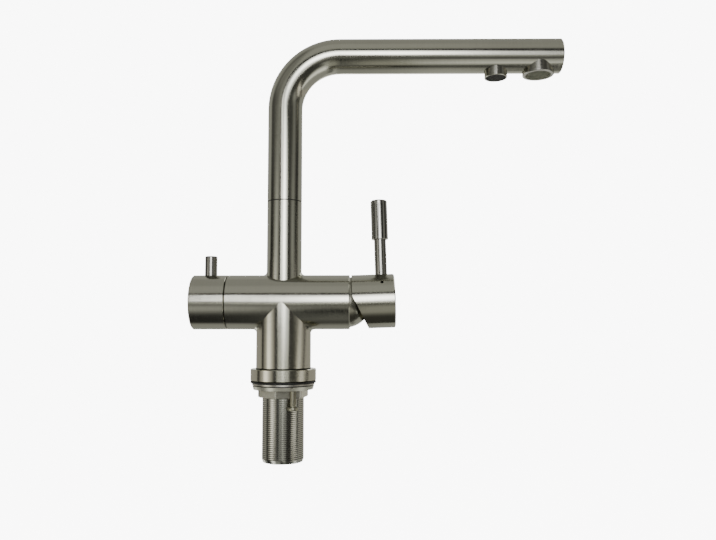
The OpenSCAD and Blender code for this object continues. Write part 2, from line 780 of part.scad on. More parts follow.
module spout_tube() {
    color("#8f8e84") difference() {
        spout_bar(spout_r, spout_foot, arm_reach - end_plate_t);
        spout_bar(bore_r, spout_foot - over, arm_reach - end_plate_t + over);
        translate([mixed_reach, 0, arm_axis_h - spout_d]) cylinder(r = mixed_neck_r + fit_gap, h = spout_d);
        translate([filtered_reach, 0, arm_axis_h - spout_d]) cylinder(r = filtered_outlet_r + fit_gap, h = spout_d);
    }
}

module spout_end_plate() {
    color("#8f8e84") translate([arm_reach, 0, arm_axis_h]) rotate([0, -90, 0]) {
        bevelled_rod(spout_r, end_plate_t, end_edge, 0);
        cylinder(r = bore_r - fit_gap, h = end_plate_t + end_plate_spigot);
    }
}

module swivel_bush() {
    color("#dad8cf") translate([0, 0, spout_foot]) ring(bush_r, bush_bore_r, bush_len);
}

module filtered_water_tube() {
    color("#dfe3e4") difference() {
        filtered_route(tube_r, 0);
        filtered_route(tube_bore_r, over);
    }
}

// The inner tube's line, which follows the spout and turns down into the filtered outlet
module filtered_route(r, extra) {
    elbow_r = neck_start(filtered_outlet_r);
    spout_bar(r, spigot_top - tube_socket + face_gap - extra, filtered_reach - elbow_r);
    translate([filtered_reach, 0, arm_axis_h - elbow_r]) mirror([1, 0, 0]) quarter_bend(r, elbow_r);
}

module mixed_outlet_neck() {
    color("#96958b") translate([mixed_reach, 0, arm_axis_h - mixed_drop + aerator_ring_h])
        ring(mixed_neck_r, mixed_neck_bore_r, mixed_drop - aerator_ring_h - neck_start(mixed_neck_r));
}

module aerator_ring() {
    color("#9c9b91") translate([mixed_reach, 0, arm_axis_h - mixed_drop]) difference() {
        union() {
            bevelled_rod(aerator_r, aerator_ring_h, edge / 2, edge / 2);
            cylinder(r = aerator_tail_r, h = aerator_ring_h + aerator_tail);
        }
        translate([0, 0, -over]) cylinder(r = aerator_bore_r, h = aerator_ring_h + aerator_tail + 2 * over);
    }
}

// A flow insert with round grooves in its face
module flow_insert(r, h) {
    pitch = r / (insert_grooves + 1);
    rotate_extrude() difference() {
        square([r, h]);
        for (i = [1:insert_grooves]) translate([(i - 1 / 2) * pitch, -over])
            square([pitch / 2, over + h / 4]);
    }
}

module aerator_insert() {
    color("#4d4d40") translate([mixed_reach, 0, arm_axis_h - mixed_drop + mesh_recess])
        flow_insert(aerator_bore_r - fit_gap, insert_h);
}

module filtered_outlet_neck() {
    start = neck_start(filtered_outlet_r);
    color("#96958b") translate([filtered_reach, 0, arm_axis_h - filtered_drop]) difference() {
        bevelled_rod(filtered_outlet_r, filtered_drop - start, edge / 2, 0);
        translate([0, 0, -over]) cylinder(r = filtered_insert_r + fit_gap, h = mesh_recess + filtered_insert_h + over);
        translate([0, 0, -over]) cylinder(r = tube_bore_r, h = filtered_drop);
    }
}

module filtered_outlet_insert() {
    color("#33332e") translate([filtered_reach, 0, arm_axis_h - filtered_drop + mesh_recess])
        flow_insert(filtered_insert_r, filtered_insert_h);
}

tee_body();
base_ring();
base_seal();
threaded_shank();
clamp_washer();
slip_washer();
back_nut();
jack_screws();
cartridge_base();
cartridge_housing();
port_seals();
fixed_disc();
sliding_disc();
disc_driver();
stem_carrier();
stem_pin();
lever_stem();
cartridge_nut();
dome_cap();
handle_drum();
lever_rod();
lever_grip();
handle_grub_screw();
valve_headwork();
valve_seat_seal();
valve_fixed_disc();
valve_turning_disc();
valve_spindle();
filter_cap();
filter_pin();
swivel_spigot();
spigot_o_rings();
spigot_clip();
swivel_ring();
spout_tube();
spout_end_plate();
swivel_bush();
filtered_water_tube();
mixed_outlet_neck();
aerator_ring();
aerator_insert();
filtered_outlet_neck();
filtered_outlet_insert();
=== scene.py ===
import math

import bpy
from mathutils import Matrix, Vector


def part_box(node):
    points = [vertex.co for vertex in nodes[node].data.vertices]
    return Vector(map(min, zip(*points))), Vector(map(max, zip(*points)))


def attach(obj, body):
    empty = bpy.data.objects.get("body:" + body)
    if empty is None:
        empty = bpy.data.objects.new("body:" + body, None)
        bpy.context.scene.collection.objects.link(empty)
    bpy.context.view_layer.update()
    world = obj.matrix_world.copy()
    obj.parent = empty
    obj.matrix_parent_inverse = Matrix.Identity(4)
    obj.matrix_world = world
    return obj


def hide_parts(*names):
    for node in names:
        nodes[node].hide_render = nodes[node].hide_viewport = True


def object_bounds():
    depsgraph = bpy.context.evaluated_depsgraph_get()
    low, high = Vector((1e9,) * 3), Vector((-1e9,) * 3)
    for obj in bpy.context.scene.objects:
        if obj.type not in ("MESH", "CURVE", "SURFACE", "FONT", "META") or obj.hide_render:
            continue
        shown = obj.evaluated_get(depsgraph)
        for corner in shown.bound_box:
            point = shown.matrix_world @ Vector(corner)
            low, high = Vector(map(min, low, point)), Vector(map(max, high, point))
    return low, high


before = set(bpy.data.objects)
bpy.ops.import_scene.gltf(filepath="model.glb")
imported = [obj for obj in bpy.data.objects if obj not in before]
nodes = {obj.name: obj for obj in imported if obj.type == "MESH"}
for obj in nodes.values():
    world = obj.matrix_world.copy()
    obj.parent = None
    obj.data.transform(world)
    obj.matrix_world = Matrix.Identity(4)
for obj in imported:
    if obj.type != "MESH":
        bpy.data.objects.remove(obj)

cad_box = [list(corner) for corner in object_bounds()]
bpy.ops.object.select_all(action="DESELECT")


# The camera stands a little over half a metre in front of the tap, just below the level of the
# body, and looks slightly up. Its place and lens were fitted to the outlines of the real tap.
eye = Vector((0.061941, -0.555871, 0.043154))
yaw, pitch, roll = math.radians(-0.263), math.radians(4.801), math.radians(-0.078)
ahead = Vector((math.sin(yaw) * math.cos(pitch), math.cos(yaw) * math.cos(pitch), math.sin(pitch)))
right = Vector((math.cos(yaw), -math.sin(yaw), 0))
above = right.cross(ahead)
turned_right = right * math.cos(roll) + above * math.sin(roll)
turned_up = above * math.cos(roll) - right * math.sin(roll)
bpy.ops.object.camera_add(location=eye)
camera = bpy.context.object
camera.matrix_world = Matrix.Translation(eye) @ Matrix((turned_right, turned_up, -ahead)).transposed().to_4x4()
camera.data.sensor_width, camera.data.lens = 36, 34.842
camera.data.clip_start = 0.01
bpy.context.scene.camera = camera


# The studio: a big softbox that stands behind the camera, sheets of paper on a dark table, and a grey
# room with dark gaps. The brushed steel mirrors it as long soft bands.
class Signal:
    """A shader value. Sums and products on it add Math nodes, and node() adds any other kind."""

    def __init__(self, tree, socket=None):
        self.tree, self.socket = tree, socket

    def node(self, kind, sockets=None, out=0, stops=None, **settings):
        made = self.tree.nodes.new(kind)
        for name, value in settings.items():
            setattr(made, name, value)
        if stops:
            ramp = made.color_ramp
            while len(ramp.elements) < len(stops):
                ramp.elements.new(0.5)
            for element, (position, grey) in zip(ramp.elements, stops):
                element.position, element.color = position, (grey, grey, grey, 1)
        for key, value in (sockets or {}).items():
            if isinstance(value, Signal):
                self.tree.links.new(value.socket, made.inputs[key])
            else:
                made.inputs[key].default_value = value
        return Signal(self.tree, made.outputs[out]) if len(made.outputs) else made

    def maths(self, operation, *others):
        return self.node("ShaderNodeMath", dict(enumerate((self,) + others)), operation=operation)

    def __add__(self, other):
        return self.maths("ADD", other)

    def __sub__(self, other):
        return self.maths("SUBTRACT", other)

    def __rsub__(self, other):
        return self.node("ShaderNodeMath", {0: other, 1: self}, operation="SUBTRACT")

    def __mul__(self, other):
        return self.maths("MULTIPLY", other)

    def __truediv__(self, other):
        return self.maths("DIVIDE", other)

    def __neg__(self):
        return self * -1

    __radd__, __rmul__ = __add__, __mul__

    def rise(self, low, high):
        """0 below low, 1 above high, with a smooth step between them"""
        return self.node("ShaderNodeMapRange", {"Value": self, "From Min": low, "From Max": high},
                         interpolation_type="SMOOTHSTEP")

    def between(self, low, high, soft):
        """1 from low to high, with a smooth step at each end"""
        return self.rise(low - soft, low + soft) * (1 - self.rise(high - soft, high + soft))

    def mix(self, first, second):
        """The first colour where this is 0, and the second where it is 1"""
        return self.node("ShaderNodeMix", {"Factor": self, "A": first, "B": second}, out=2, data_type="RGBA")

    def split(self):
        """The three parts of a direction or of a place in metres"""
        made = self.node("ShaderNodeSeparateXYZ", {0: self})
        return [Signal(self.tree, part) for part in made.socket.node.outputs]


world = bpy.data.worlds.new("studio_room")
bpy.context.scene.world = world
world.use_nodes = True
world.node_tree.nodes.clear()
room = Signal(world.node_tree)
dx, dy, dz = room.node("ShaderNodeTexCoord", out="Generated").split()
# Degrees round from the front towards the lever's end, degrees up, and for the level tubes degrees
# aside and degrees tipped about the body's length, which goes on past 90 to the back
round_from_front = dx.maths("ARCTAN2", -dy) * (180 / math.pi)
up = dz.maths("ARCSINE") * (180 / math.pi)
aside = dx.maths("ARCSINE") * (180 / math.pi)
tipped = dz.maths("ARCTAN2", -dy) * (180 / math.pi)


def profile(degrees, brightest, *stops):
    """A brightness that changes along an angle, from stops as (degrees, share of the brightest)"""
    return degrees.node("ShaderNodeValToRGB", {"Fac": degrees / 360 + 0.5},
                        stops=[(0.5 + at / 360, share) for at, share in stops]) * brightest


# Level with the tap's foot: cream paper to the left, white paper in front, and a smaller sheet at the
# right that lies askew
askew = round_from_front - 2.5 * round_from_front.rise(25, 55) * (up + 2)
papers = profile(askew, 3.6, (-180, 0.12), (-99, 0.12), (-95, 0.02), (-87, 0.02), (-82, 0.09),
                 (-69, 0.17), (-62, 0.60), (-53, 0.60), (-47, 0.28), (-37, 0.12), (-32, 0.08), (-29, 0.018),
                 (-19, 0.018), (-16, 0.26), (0, 0.38), (4, 0.80), (8, 0.38), (12, 0.27), (23, 0.25),
                 (26, 0.018), (58, 0.018), (65, 0.11), (71, 0.29), (79, 0.29), (85, 0.12), (94, 0.12),
                 (98, 0.02), (104, 0.02), (109, 0.125), (180, 0.12))
# Lower down, as the threaded shank sees it, the sheet at the right is wider, with a dark gap beyond it
deep = 1 - up.rise(-6.8, -5.4)
papers = papers * (1 - 0.8 * deep * round_from_front.between(85, 94, 2))
papers = papers + 0.8 * deep * round_from_front.between(64, 82, 3)
# The room's walls from the level up to 7 degrees, and from 17 degrees on
wall_low = profile(round_from_front, 0.7, (-180, 0.57), (-112, 0.57), (-103, 0.47), (-96, 0.09), (-92, 0.04),
                   (-78, 0.04), (-72, 0.17), (-64, 0.40), (-56, 0.69), (-49, 0.94), (-43, 0.89), (-37, 0.51),
                   (-32, 0.23), (-28, 0.07), (30, 0.07), (40, 0.09), (46, 0.21), (52, 0.43), (58, 0.54), (64, 0.49),
                   (70, 0.37), (76, 0.2), (80, 0.06), (98, 0.03), (103, 0.25), (110, 0.55), (180, 0.57))
wall_high = profile(round_from_front, 0.42, (-180, 1.0), (-105, 0.95), (-98, 0.62), (-92, 0.21), (-78, 0.21),
                    (-70, 0.26), (-60, 0.33), (-50, 0.40), (-42, 0.52), (-35, 0.71), (-27, 0.71), (-20, 0.48),
                    (30, 0.24), (38, 0.15), (54, 0.15), (60, 0.36), (66, 0.52), (73, 0.50), (80, 0.34), (86, 0.2),
                    (93, 0.1), (101, 0.1), (106, 0.35), (113, 0.7), (122, 0.9), (180, 0.95))
wall = wall_low + up.rise(6, 18) * (wall_high - wall_low)
# The table is grey to the left, darker in the middle, and cream towards the spout's end
table_left = profile(tipped, 0.5, (-180, 0.7), (-118, 0.7), (-110, 0.62), (-104, 0.46), (-98, 0.14), (-94, 0.06),
                     (-70, 0.06), (-62, 0.08), (-56, 0.13), (-50, 0.24), (-45, 0.38), (-40, 0.55), (-35, 0.74),
                     (-30, 0.84), (-24, 0.80), (-19, 0.64), (-14, 0.45), (-9, 0.3), (0, 0.3))
table_middle = profile(tipped, 0.4, (-180, 0.85), (-122, 0.82), (-112, 0.6), (-104, 0.36), (-97, 0.2), (-88, 0.26),
                       (-78, 0.36), (-70, 0.34), (-63, 0.28), (-56, 0.24), (-50, 0.18), (-44, 0.06), (-36, 0.05),
                       (-31, 0.16), (-26, 0.34), (-21, 0.42), (-16, 0.38), (0, 0.3))
table_right = profile(tipped, 0.9, (-180, 0.62), (-130, 0.56), (-110, 0.48), (-103, 0.40), (-97, 0.24), (-92, 0.12),
                      (-86, 0.12), (-80, 0.22), (-74, 0.42), (-68, 0.72), (-62, 1.0), (-56, 0.92), (-50, 0.72),
                      (-44, 0.62), (-38, 0.36), (-33, 0.12), (-26, 0.12), (-21, 0.28), (-15, 0.5), (0, 0.4))
table_far = profile(tipped, 1.8, (-180, 0.2), (-108, 0.21), (-102, 0.26), (-96, 0.42), (-90, 0.66), (-84, 0.80),
                    (-77, 0.72), (-70, 0.54), (-63, 0.32), (-57, 0.17), (-51, 0.06), (-45, 0.035), (-20, 0.03),
                    (0, 0.05))
table = table_left + aside.rise(-10, -4) * (table_middle - table_left)
table_right = table_right * (1 - 0.65 * aside.rise(9, 12) * tipped.between(-135, -67, 3))
table = table + aside.rise(1, 7) * (table_right - table)
table = table + aside.rise(15, 24) * (table_far - table)
# The ceiling is grey, darker straight above, over the bend, and towards the spout's end
overhead = 0.40 - 0.07 * tipped.between(69, 114, 7)
overhead = overhead - 0.17 * (1 - aside.rise(-26, -16)) * tipped.between(15, 90, 8)
overhead = overhead - 0.06 * aside.rise(7, 12) * tipped.between(20, 69, 7)
# Upwards these follow each other: the table, the papers, the walls and the ceiling
foot = up.rise(-11.5, -9)
low = 1 - up.rise(-1, 5)
ceiling = up.rise(20, 42)
in_front = round_from_front.between(-22, 28, 3) * (1 - up.rise(-5.0, -3.6))
level_light = foot * papers * (1 - 0.64 * in_front) + (1 - foot) * table
light = ceiling * overhead + (1 - ceiling) * (low * level_light + (1 - low) * wall)
# For the views from elsewhere there are a second softbox behind the tap, two lit sheets low at the left,
# and a pale strip of wall high at the right
around = round_from_front.maths("ABSOLUTE")
low_left = (1 - aside.rise(-27, -20)) * (1 - up.rise(-17, -13))
high_right = aside.rise(20, 27) * up.rise(21, 27)
light = light + 0.9 * around.rise(158, 165) * up.between(-14, 24, 3)
light = light + 1.5 * low_left * (around.between(40, 62, 7) + around.between(120, 140, 7))
light = light + 1.3 * high_right * tipped.between(112, 146, 8)
side_paper = low * foot * around.rise(24, 36)
white_light, cream_light = (0.99, 1.0, 0.93, 1), (1.0, 0.955, 0.84, 1)
tint = side_paper.mix(white_light, cream_light)


def mirrored_twice(signal):
    """1 where a light is seen by way of two steel surfaces, which would show it as thin bright lines"""
    return signal.node("ShaderNodeLightPath", out="Glossy Depth").rise(1, 2)


seen = room.node("ShaderNodeLightPath", out="Is Camera Ray")
glow = room.node("ShaderNodeBackground", {"Color": tint, "Strength": light * (1 - 0.5 * mirrored_twice(room))})
backdrop_glow, floor_glow = 9.0, 8.6
blank = room.node("ShaderNodeBackground", {"Color": (1, 1, 1, 1), "Strength": backdrop_glow})
blend = room.node("ShaderNodeMixShader", {"Fac": seen, 1: glow, 2: blank})
room.node("ShaderNodeOutputWorld", {"Surface": blend})


bpy.ops.object.light_add(type="AREA", location=(0.085, -0.64, 0.215), rotation=(math.pi / 2, 0, 0))
lamp = bpy.context.object
lamp.name = "softbox_lamp"
lamp.data.shape, lamp.data.size, lamp.data.size_y = "RECTANGLE", 0.50, 0.43
lamp.data.energy, lamp.data.color = 2.0, (1, 0.99, 0.965)
lamp.visible_glossy = False


def glowing_card(name, low, high, strength, tint=(0.975, 0.985, 1.0, 1)):
    """A card between its low and high corners, which only the steel's reflections see. Its light is
    strength() of the place on it."""
    bpy.ops.mesh.primitive_plane_add(size=1)
    card = bpy.context.object
    card.name = name
    for corner in card.data.vertices:
        across, along = (high if corner.co.x > 0 else low), (high if corner.co.y > 0 else low)
        corner.co = (across[0], along[1], along[2])
    card.visible_camera = card.visible_diffuse = card.visible_shadow = False
    glow = bpy.data.materials.new(name)
    glow.use_nodes = True
    glow.node_tree.nodes.clear()
    point = Signal(glow.node_tree).node("ShaderNodeTexCoord", out="Object")
    shining = strength(*point.split()) * (1 - 0.8 * mirrored_twice(point))
    lit = point.node("ShaderNodeEmission", {"Color": tint, "Strength": shining})
    point.node("ShaderNodeOutputMaterial", {"Surface": lit})
    card.data.materials.append(glow)


def softbox_light(x, y, z):
    # Brightest a little right of the middle, where the lamp is behind the cloth. It hangs a little
    # askew, so its lower edge climbs to the left and its top edge drops at the right.
    beside, over = x - 0.09, 0.8 * (z - 0.32)
    from_lamp = (beside * beside + over * over).maths("SQRT")
    spot = 1.15 + 2.0 * (1 - x.rise(-0.34, -0.16)) + 7.5 * (1 - from_lamp.rise(0, 0.34))
    above_foot = (z - 0.045 + 0.15 * x).rise(-0.015, 0.015)
    below_top = 1 - (z - 0.71 + 0.45 * (x - 0.15).maths("MAXIMUM", 0)).rise(-0.03, 0.02)
    return 0.03 + spot * above_foot * below_top


def sheet_light(x, y, z):
    # A sheet of paper in front of the lever's end: in shade beside the tap, pale a hand's breadth in
    # front of it, and dimmer towards the softbox
    return y.node("ShaderNodeValToRGB", {"Fac": -y}, stops=[
        (0.0, 0.045), (0.038, 0.05), (0.048, 0.075), (0.057, 0.12), (0.066, 0.18), (0.077, 0.26), (0.09, 0.33),
        (0.15, 0.35), (0.19, 0.33), (0.24, 0.27), (0.3, 0.2), (0.38, 0.15), (0.5, 0.1), (1.0, 0.07)])


glowing_card("softbox_cloth", (-0.38, -1.22, 0.01), (0.57, -1.22, 0.71), softbox_light)
glowing_card("softbox_rim", (-0.45, -1.225, 0.4), (0.66, -1.225, 0.97), lambda x, y, z: 0.03)
glowing_card("table_sheet", (0.056, -1.15, -0.1003), (0.135, 0.008, -0.011), sheet_light, (1.0, 1.0, 0.87, 1))

# The floor: a pale board that the shank's end stands on. It glows as evenly lit paper does, and the
# steel doesn't mirror it.
under_shank = cad_box[0][2] - 0.0001
bpy.ops.mesh.primitive_circle_add(vertices=96, radius=4, fill_type="NGON", location=(0, 0, under_shank))
floor = bpy.context.object
floor.name = "pale_floor"
bpy.ops.object.transform_apply(location=True)
floor.visible_glossy = False
floor.visible_diffuse = False
paper = bpy.data.materials.new("pale_board")
paper.use_nodes = True
paper.node_tree.nodes.clear()
board = Signal(paper.node_tree)
lit = board.node("ShaderNodeEmission", {"Color": (1, 1, 1, 1), "Strength": floor_glow})
matt = board.node("ShaderNodeBsdfDiffuse", {"Color": (0.9, 0.9, 0.9, 1)})
both = board.node("ShaderNodeAddShader", {0: lit, 1: matt})
board.node("ShaderNodeOutputMaterial", {"Surface": both})
floor.data.materials.append(paper)


# The body, column and riser are one welded stainless steel tee, ground and then brushed with a belt
# whose fine lines run round each tube.
def place_of(material):
    """The point on the piece, as three signals in metres"""
    material.use_nodes = True
    material.node_tree.nodes.clear()
    return Signal(material.node_tree).node("ShaderNodeTexCoord", out="Object").split()


# Painted shade: the near-black mixed into a colour where shadow would fall, in joints, flutes and under the nut's
# flange
painted_shade_colour = (0.04, 0.04, 0.035, 1)


def brushed_steel(name, along, shade=(0.60, 0.59, 0.50), roughness=0.14, fine=6000, bump=0.6, painted_shade=None):
    """Steel with fine lines round the tube whose length is the first value that along() gives, and with
    painted shade, a near-black mixed into its colour where the given shade function gives 1"""
    steel = bpy.data.materials.new(name)
    place = place_of(steel)
    length, across, over = along(*place)

    def lines(per_metre, round_about):
        point = length.node("ShaderNodeCombineXYZ", {0: length * per_metre, 1: across * round_about,
                                                     2: over * round_about})
        return length.node("ShaderNodeTexNoise", {"Vector": point, "Scale": 1.0, "Detail": 2.0, "Roughness": 0.6})

    streaks = 0.6 * lines(fine, 60) + 0.4 * lines(fine * 0.28, 38)
    cloud = lines(45, 45)
    dark = tuple(0.86 * c for c in shade) + (1,)
    pale = tuple(min(1, 1.12 * c) for c in shade) + (1,)
    colour = (0.75 * streaks + 0.25 * cloud).mix(dark, pale)
    if painted_shade:
        colour = painted_shade(*place).mix(colour, painted_shade_colour)
    uneven = roughness + 0.10 * (streaks - 0.5) + 0.08 * (cloud - 0.5)
    normal = length.node("ShaderNodeBump", {"Strength": bump, "Distance": 0.00004, "Height": streaks})
    skin = length.node("ShaderNodeBsdfPrincipled", {"Base Color": colour, "Metallic": 1.0, "Roughness": uneven,
                                                    "Normal": normal})
    length.node("ShaderNodeOutputMaterial", {"Surface": skin})
    return steel


def dress(material, *names):
    """Give the CAD nodes a material"""
    for name in names:
        for slot in nodes[name].material_slots:
            slot.material = material


def upright(x, y, z):
    return z, x, y


def level(x, y, z):
    return x, y, z


body_height, body_radius = 0.064, 0.02175


def tee_lines(x, y, z):
    # Round the level body on its own surface, and round the uprights elsewhere
    from_axis = (y * y + (z - body_height) * (z - body_height)).maths("SQRT")
    off_body = (from_axis - body_radius).maths("ABSOLUTE").rise(0.0001, 0.0003)
    return x + off_body * (z - x), y, z + off_body * (x - z)


ring_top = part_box("base_ring")[1][2]


def painted_shade_over_ring(x, y, z):
    # Painted shade: a dark line where the column stands in the ring, for the shadow in the gap between them
    return 1 - z.rise(ring_top + 0.0003, ring_top + 0.0011)


# The tee's steel carries the painted shade line over the ring
dress(brushed_steel("tee_steel", tee_lines, painted_shade=painted_shade_over_ring), "tee_body")


# The base ring is turned from steel bar, and stands round the column's foot. The black rubber seal
# under it keeps water out of the hole in the worktop.
def moulded(name, colour, roughness, grain=900, depth=0.15, speckle=0.12, metallic=0.0, painted_shade=None):
    """Rubber, plastic, ceramic or cast metal: an even colour with a fine grain, and painted shade where the given
    shade function is 1
    """
    stuff = bpy.data.materials.new(name)
    x, y, z = place_of(stuff)
    point = x.node("ShaderNodeCombineXYZ", {0: x, 1: y, 2: z})
    grains = point.node("ShaderNodeTexNoise", {"Vector": point, "Scale": grain, "Detail": 3.0})
    clouds = point.node("ShaderNodeTexNoise", {"Vector": point, "Scale": grain / 12, "Detail": 2.0})
    dark = tuple((1 - speckle) * c for c in colour) + (1,)
    pale = tuple(min(1, (1 + speckle) * c) for c in colour) + (1,)
    shade = (0.5 * grains + 0.5 * clouds).mix(dark, pale)
    if painted_shade:
        shade = painted_shade(x, y, z).mix(shade, painted_shade_colour)
    normal = point.node("ShaderNodeBump", {"Strength": depth, "Distance": 0.00005, "Height": grains})
    skin = point.node("ShaderNodeBsdfPrincipled", {"Base Color": shade, "Metallic": metallic, "Normal": normal,
                                                   "Roughness": roughness + 0.12 * (clouds - 0.5)})
    point.node("ShaderNodeOutputMaterial", {"Surface": skin})
    return stuff


upright_steel = brushed_steel("upright_steel", upright)
dress(upright_steel, "base_ring")
black_rubber = moulded("black_rubber", (0.012, 0.012, 0.011), 0.45)
dress(black_rubber, "base_seal")


# The shank is a steel tube with a thread cut along its whole length, which goes down through the
# worktop. It screws into the foot of the column, and the hoses come up through it.
def finish_mesh(piece, name, angle=30):
    """Put the piece's place in its mesh, turn its faces outwards and smooth its rounded sides"""
    piece.name = name
    bpy.ops.object.select_all(action="DESELECT")
    piece.select_set(True)
    bpy.context.view_layer.objects.active = piece
    bpy.ops.object.transform_apply(location=True, rotation=True, scale=True)
    bpy.ops.object.mode_set(mode="EDIT")
    bpy.ops.mesh.select_all(action="SELECT")
    bpy.ops.mesh.normals_make_consistent(inside=False)
    bpy.ops.object.mode_set(mode="OBJECT")
    bpy.ops.object.shade_smooth_by_angle(angle=math.radians(angle))
    bpy.ops.object.select_all(action="DESELECT")
    return piece


def apply(piece, kind, **settings):
    """Add a modifier and apply it at once"""
    modifier = piece.modifiers.new(kind, kind)
    for name, value in settings.items():
        setattr(modifier, name, value)
    bpy.context.view_layer.objects.active = piece
    bpy.ops.object.modifier_apply(modifier=modifier.name)


def pick(piece, kind, wanted):
    """Select the corners, edges or faces that wanted() is true of, and stay in edit mode"""
    bpy.context.view_layer.objects.active = piece
    bpy.ops.object.mode_set(mode="EDIT")
    bpy.ops.mesh.select_mode(type=kind)
    bpy.ops.mesh.select_all(action="DESELECT")
    bpy.ops.object.mode_set(mode="OBJECT")
    mesh = piece.data
    for part in {"VERT": mesh.vertices, "EDGE": mesh.edges, "FACE": mesh.polygons}[kind]:
        part.select = wanted(part)
    bpy.ops.object.mode_set(mode="EDIT")


def join(first, *others):
    """Make one piece of several"""
    bpy.ops.object.select_all(action="DESELECT")
    for piece in (first,) + others:
        piece.select_set(True)
    bpy.context.view_layer.objects.active = first
    bpy.ops.object.join()
    bpy.ops.object.select_all(action="DESELECT")
    return first


def helical_thread(radius, pitch, depth, bottom, top, steps, place=(0, 0)):
    """A ridge that climbs round a core, with both its ends faded into it"""
    bpy.ops.mesh.primitive_circle_add(vertices=6, radius=1, fill_type="NOTHING")
    thread = bpy.context.object
    # Six corners of a flat-topped ridge, whose foot is sunk in the core, in depths and pitches
    ridge = [(0, -0.44), (1, -0.3), (1, 0.3), (0, 0.44), (-0.35, 0.25), (-0.35, -0.25)]
    for corner, (out, side) in zip(thread.data.vertices, ridge):
        corner.co = (radius - depth + out * depth, 0, side * pitch)
    turns = int((top - bottom) / pitch)
    apply(thread, "SCREW", axis="Z", angle=2 * math.pi, screw_offset=pitch, iterations=turns,
          steps=steps, render_steps=steps)
    length = turns * pitch
    for corner in thread.data.vertices:
        # Over the last half turn at each end the ridge sinks into the core
        turns_left = min(corner.co.z, length - corner.co.z) / pitch + 0.5
        sink = max(0, 1 - turns_left)
        out = math.hypot(corner.co.x, corner.co.y)
        scale = (out - sink * 1.1 * max(0, out - (radius - depth * 1.35))) / out
        corner.co.x *= scale
        corner.co.y *= scale
    bpy.context.view_layer.objects.active = thread
    bpy.ops.object.mode_set(mode="EDIT")
    bpy.ops.mesh.select_all(action="DESELECT")
    bpy.ops.mesh.select_mode(type="EDGE")
    bpy.ops.mesh.select_non_manifold(extend=False)
    bpy.ops.mesh.fill()
    bpy.ops.object.mode_set(mode="OBJECT")
    thread.location = (place[0], place[1], bottom)
    bpy.ops.object.transform_apply(location=True)
    bpy.ops.object.select_all(action="DESELECT")
    return thread


shank_low, shank_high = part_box("threaded_shank")
shank_radius, shank_bore, thread_pitch, thread_depth = shank_high[0], 0.0135, 0.0015, 0.0006
core_radius = shank_radius - thread_depth
end_bevel, thread_start, thread_end = 0.0007, shank_low[2] + 0.0014, 0.004
bpy.ops.mesh.primitive_cylinder_add(vertices=128, radius=core_radius, depth=shank_high[2] - shank_low[2],
                                    end_fill_type="NOTHING", location=(0, 0, (shank_high[2] + shank_low[2]) / 2))
shank = bpy.context.object
bpy.ops.object.transform_apply(location=True)
apply(shank, "SOLIDIFY", thickness=core_radius - shank_bore, offset=-1)


def lower_rim(edge):
    ends = [shank.data.vertices[i].co for i in edge.vertices]
    return all(abs(end.z - shank_low[2]) < 1e-5 for end in ends) and \
        all(abs(math.hypot(end.x, end.y) - core_radius) < 1e-4 for end in ends)


pick(shank, "EDGE", lower_rim)
bpy.ops.mesh.bevel(offset=end_bevel, segments=2)
bpy.ops.object.mode_set(mode="OBJECT")
shank_thread = helical_thread(shank_radius, thread_pitch, thread_depth, thread_start, thread_end, 72)
shank = finish_mesh(join(shank, shank_thread), "shank_with_thread", 25)
threaded_steel = brushed_steel("threaded_steel", upright, shade=(0.565, 0.565, 0.51), roughness=0.13, bump=0.2)
shank.data.materials.append(threaded_steel)
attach(shank, "root")
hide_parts("threaded_shank")


# Two washers are run up under the seal: a stamped steel one, and a black plastic one that lets the
# nut turn.
dress(brushed_steel("washer_steel", upright, shade=(0.62, 0.61, 0.55), roughness=0.3), "clamp_washer")
black_plastic = moulded("black_plastic", (0.02, 0.02, 0.019), 0.4)
dress(black_plastic, "slip_washer")


# The nut is nickel-plated brass, with a tapered flange over its hexagon. Two screws go up through
# the flange and press the washers against the worktop.
hexagon_height = 0.0061
flange_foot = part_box("back_nut")[0][2] + hexagon_height


def nut_shadows(x, y, z):
    # Painted shade and dark reflection: a dark line under the flange, one beside each corner of the hexagon, a
    # darker flat in front, and a darker flange
    turn = x.maths("ARCTAN2", -y) * (180 / math.pi)
    beside_corner = (turn + 12).maths("WRAP", 60, 0).between(1.5, 4.5, 0.8)
    hexagon = (0.55 * beside_corner).maths("MAXIMUM", 0.64 * turn.between(-9, 46, 1.5))
    on_flange = z.rise(flange_foot - 0.0004, flange_foot)
    return (hexagon * (1 - on_flange) + 0.3 * on_flange).maths(
        "MAXIMUM", 0.75 * z.between(flange_foot - 0.0005, flange_foot, 0.0002))


dress(moulded("nickel_plate", (0.95, 0.94, 0.79), 0.3, grain=2500, depth=0.02, speckle=0.05, metallic=0.68,
              painted_shade=nut_shadows), "back_nut")

